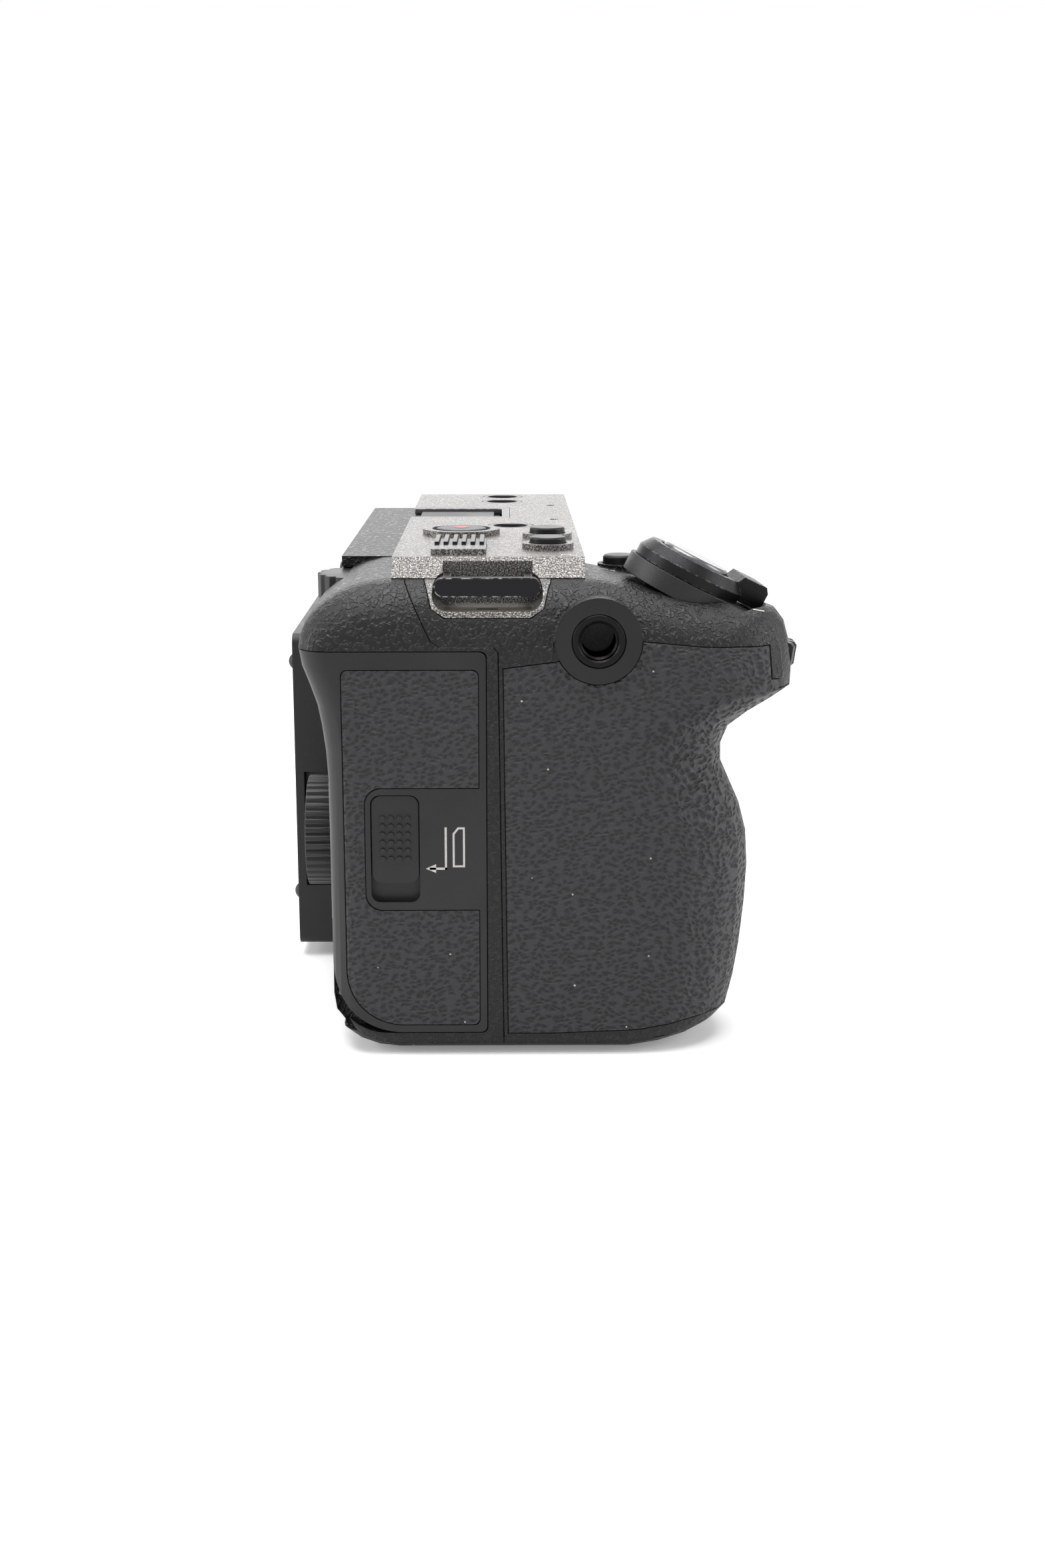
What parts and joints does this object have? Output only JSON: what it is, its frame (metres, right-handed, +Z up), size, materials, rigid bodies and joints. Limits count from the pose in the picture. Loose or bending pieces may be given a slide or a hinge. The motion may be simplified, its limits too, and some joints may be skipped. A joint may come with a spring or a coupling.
{
  "type": "digital cinema camera",
  "caption": "Compact box-style digital cinema camera body with side grip, flat threaded deck, swing-out monitor, card and battery doors, dials and an open lens mount.",
  "frame": {"origin": "mouth of the tripod socket in the base, straight under the lens axis", "axes": "+Z up, the lens looks along -Y, the grip is at -X and the ports are at +X"},
  "size_m": [0.1306, 0.0851, 0.0803],
  "materials": {
    "deck_paint": "light-flecked grey paint, fine grain",
    "body_paint": "black paint with a fine wrinkle",
    "rubber_skin": "black rubber with a pebbled grain",
    "black_plastic": "satin black moulded plastic",
    "black_metal": "black anodised",
    "button_plastic": "satin-gloss black",
    "record_cap": "satin silver grey",
    "steel": "turned steel",
    "mount_metal": "turned bright",
    "frame_metal": "die-cast frame, plain",
    "screen_glass": "black glossy cover",
    "sensor_glass": "dark filter glass",
    "board": "green laminate",
    "sink_metal": "plain aluminium",
    "battery_case": "dark grey plastic"
  },
  "bodies": {
    "body": {"top_deck": "deck_paint", "front_cover": "body_paint", "rear_cover": "body_paint", "base_plate": "body_paint", "grip_shell": "body_paint", "turret": "body_paint", "grip_leather": "rubber_skin", "port_panel": "black_plastic", "outlet_grille": "black_plastic", "light_box": "black_plastic", "card_slots": "black_plastic", "mount_contacts": "black_plastic", "strap_lug_right": "black_metal", "strap_lug_left": "black_metal", "shoe_rails": "black_metal", "side_thread_right": "steel", "side_thread_left": "steel", "deck_threads": "steel", "tripod_socket": "steel", "card_door_pin": "steel", "battery_door_pin": "steel", "front_dial_pin": "steel", "mount_screws": "steel", "mount_bayonet": "mount_metal", "chassis": "frame_metal", "sensor_module": "sensor_glass", "main_board": "board", "heat_sink": "sink_metal", "battery_pack": "battery_case"},
    "card_door": {"card_door": "black_plastic", "card_door_leather": "rubber_skin"},
    "card_latch": {"card_door_latch": "black_plastic"},
    "battery_door": {"battery_door": "black_plastic"},
    "battery_latch": {"battery_door_latch": "black_plastic"},
    "monitor": {"monitor_arm": "black_plastic", "monitor_shell": "black_plastic", "monitor_glass": "screen_glass"},
    "power_lever": {"power_lever": "black_metal"},
    "shutter_button": {"shutter_button": "black_metal"},
    "grip_button": {"grip_button": "button_plastic"},
    "front_dial": {"front_dial": "black_metal"},
    "record_button": {"record_button": "record_cap"},
    "zoom_lever": {"zoom_lever": "button_plastic"},
    "deck_button_near": {"deck_button_near": "button_plastic"},
    "deck_button_far": {"deck_button_far": "button_plastic"},
    "shoe_cover": {"shoe_cover": "button_plastic"},
    "rear_dial": {"rear_dial": "black_metal"},
    "control_wheel": {"control_wheel": "black_metal"},
    "wheel_button": {"wheel_button": "button_plastic"},
    "joystick": {"joystick": "button_plastic"},
    "af_button": {"af_button": "button_plastic"},
    "function_button": {"function_button": "button_plastic"},
    "playback_button": {"playback_button": "button_plastic"},
    "menu_button": {"menu_button": "button_plastic"},
    "display_button": {"display_button": "button_plastic"},
    "mic_door": {"mic_door": "rubber_skin"},
    "hdmi_door": {"hdmi_door": "rubber_skin"},
    "usb_door": {"usb_door": "rubber_skin"},
    "lens_release_button": {"lens_release_button": "button_plastic"},
    "lens_lock_pin": {"lens_lock_pin": "steel"}
  },
  "joints": [
    {"name": "power_lever_turn", "type": "hinge", "parent": "body", "child": "power_lever", "pos_m": [-0.0625, -0.04, 0.074], "axis": [0, -0.454, 0.891], "range_deg": [0, 35]},
    {"name": "shutter_button_press", "type": "slide", "parent": "body", "child": "shutter_button", "axis": [0, 0.454, -0.891], "range_m": [0, 0.0012], "stiffness_N_per_m": 150},
    {"name": "front_dial_spin", "type": "hinge", "parent": "body", "child": "front_dial", "pos_m": [-0.062, -0.048, 0.0612], "axis": [0, -0.1392, 0.9903], "continuous": true},
    {"name": "rear_dial_spin", "type": "hinge", "parent": "body", "child": "rear_dial", "pos_m": [-0.045, 0.0116, 0.0686], "axis": [0, 0, 1], "continuous": true},
    {"name": "control_wheel_spin", "type": "hinge", "parent": "body", "child": "control_wheel", "pos_m": [-0.048, 0.018, 0.0292], "axis": [0, 1, 0], "continuous": true},
    {"name": "wheel_button_press", "type": "slide", "parent": "body", "child": "wheel_button", "axis": [0, -1, 0], "range_m": [0, 0.0006], "stiffness_N_per_m": 180},
    {"name": "grip_button_press", "type": "slide", "parent": "body", "child": "grip_button", "axis": [0, 0, -1], "range_m": [0, 0.0006], "stiffness_N_per_m": 180},
    {"name": "record_button_press", "type": "slide", "parent": "body", "child": "record_button", "axis": [0, 0, -1], "range_m": [0, 0.0006], "stiffness_N_per_m": 180},
    {"name": "deck_button_near_press", "type": "slide", "parent": "body", "child": "deck_button_near", "axis": [0, 0, -1], "range_m": [0, 0.0006], "stiffness_N_per_m": 180},
    {"name": "deck_button_far_press", "type": "slide", "parent": "body", "child": "deck_button_far", "axis": [0, 0, -1], "range_m": [0, 0.0006], "stiffness_N_per_m": 180},
    {"name": "af_button_press", "type": "slide", "parent": "body", "child": "af_button", "axis": [0, -1, 0], "range_m": [0, 0.0006], "stiffness_N_per_m": 180},
    {"name": "function_button_press", "type": "slide", "parent": "body", "child": "function_button", "axis": [0, -1, 0], "range_m": [0, 0.0006], "stiffness_N_per_m": 180},
    {"name": "playback_button_press", "type": "slide", "parent": "body", "child": "playback_button", "axis": [0, -1, 0], "range_m": [0, 0.0006], "stiffness_N_per_m": 180},
    {"name": "menu_button_press", "type": "slide", "parent": "body", "child": "menu_button", "axis": [0, -1, 0], "range_m": [0, 0.0006], "stiffness_N_per_m": 180},
    {"name": "display_button_press", "type": "slide", "parent": "body", "child": "display_button", "axis": [0, -1, 0], "range_m": [0, 0.0006], "stiffness_N_per_m": 180},
    {"name": "joystick_tilt", "type": "hinge", "parent": "body", "child": "joystick", "pos_m": [-0.038, 0.0146, 0.052], "axis": [1, 0, 0], "range_deg": [-6, 6], "stiffness_Nm_per_rad": 0.02},
    {"name": "zoom_lever_slide", "type": "slide", "parent": "body", "child": "zoom_lever", "axis": [0, 1, 0], "range_m": [-0.0013, 0.0013], "stiffness_N_per_m": 180},
    {"name": "shoe_cover_slide", "type": "slide", "parent": "body", "child": "shoe_cover", "axis": [0, 1, 0], "range_m": [0, 0.02]},
    {"name": "card_door_swing", "type": "hinge", "parent": "body", "child": "card_door", "pos_m": [-0.0743, 0.0139, 0.034], "axis": [0, 0, -1], "range_deg": [0, 95]},
    {"name": "card_latch_slide", "type": "slide", "parent": "card_door", "child": "card_latch", "axis": [0, 0, -1], "range_m": [0, 0.003]},
    {"name": "battery_door_swing", "type": "hinge", "parent": "body", "child": "battery_door", "pos_m": [-0.05, -0.0172, 0.00125], "axis": [0, -1, 0], "range_deg": [0, 95]},
    {"name": "battery_latch_slide", "type": "slide", "parent": "battery_door", "child": "battery_latch", "axis": [1, 0, 0], "range_m": [0, 0.0024]},
    {"name": "monitor_swing", "type": "hinge", "parent": "body", "child": "monitor", "pos_m": [0.0476, 0.0216, 0.031], "axis": [0, 0, -1], "range_deg": [0, 176]},
    {"name": "mic_door_swing", "type": "hinge", "parent": "body", "child": "mic_door", "pos_m": [0.0507, -0.00485, 0.049], "axis": [0, 0, -1], "range_deg": [0, 100]},
    {"name": "hdmi_door_swing", "type": "hinge", "parent": "body", "child": "hdmi_door", "pos_m": [0.0507, -0.00485, 0.0345], "axis": [0, 0, -1], "range_deg": [0, 100]},
    {"name": "usb_door_swing", "type": "hinge", "parent": "body", "child": "usb_door", "pos_m": [0.0507, -0.00485, 0.0195], "axis": [0, 0, -1], "range_deg": [0, 100]},
    {"name": "lens_release_button_press", "type": "slide", "parent": "body", "child": "lens_release_button", "axis": [0, 1, 0], "range_m": [0, 0.002], "stiffness_N_per_m": 200},
    {"name": "lens_lock_pin_slide", "type": "slide", "parent": "body", "child": "lens_lock_pin", "axis": [0, 1, 0], "range_m": [0, 0.002], "stiffness_N_per_m": 200}
  ],
  "couplings": [
    {"joint": "lens_lock_pin_slide", "follows": "lens_release_button_press", "ratio": 1}
  ]
}
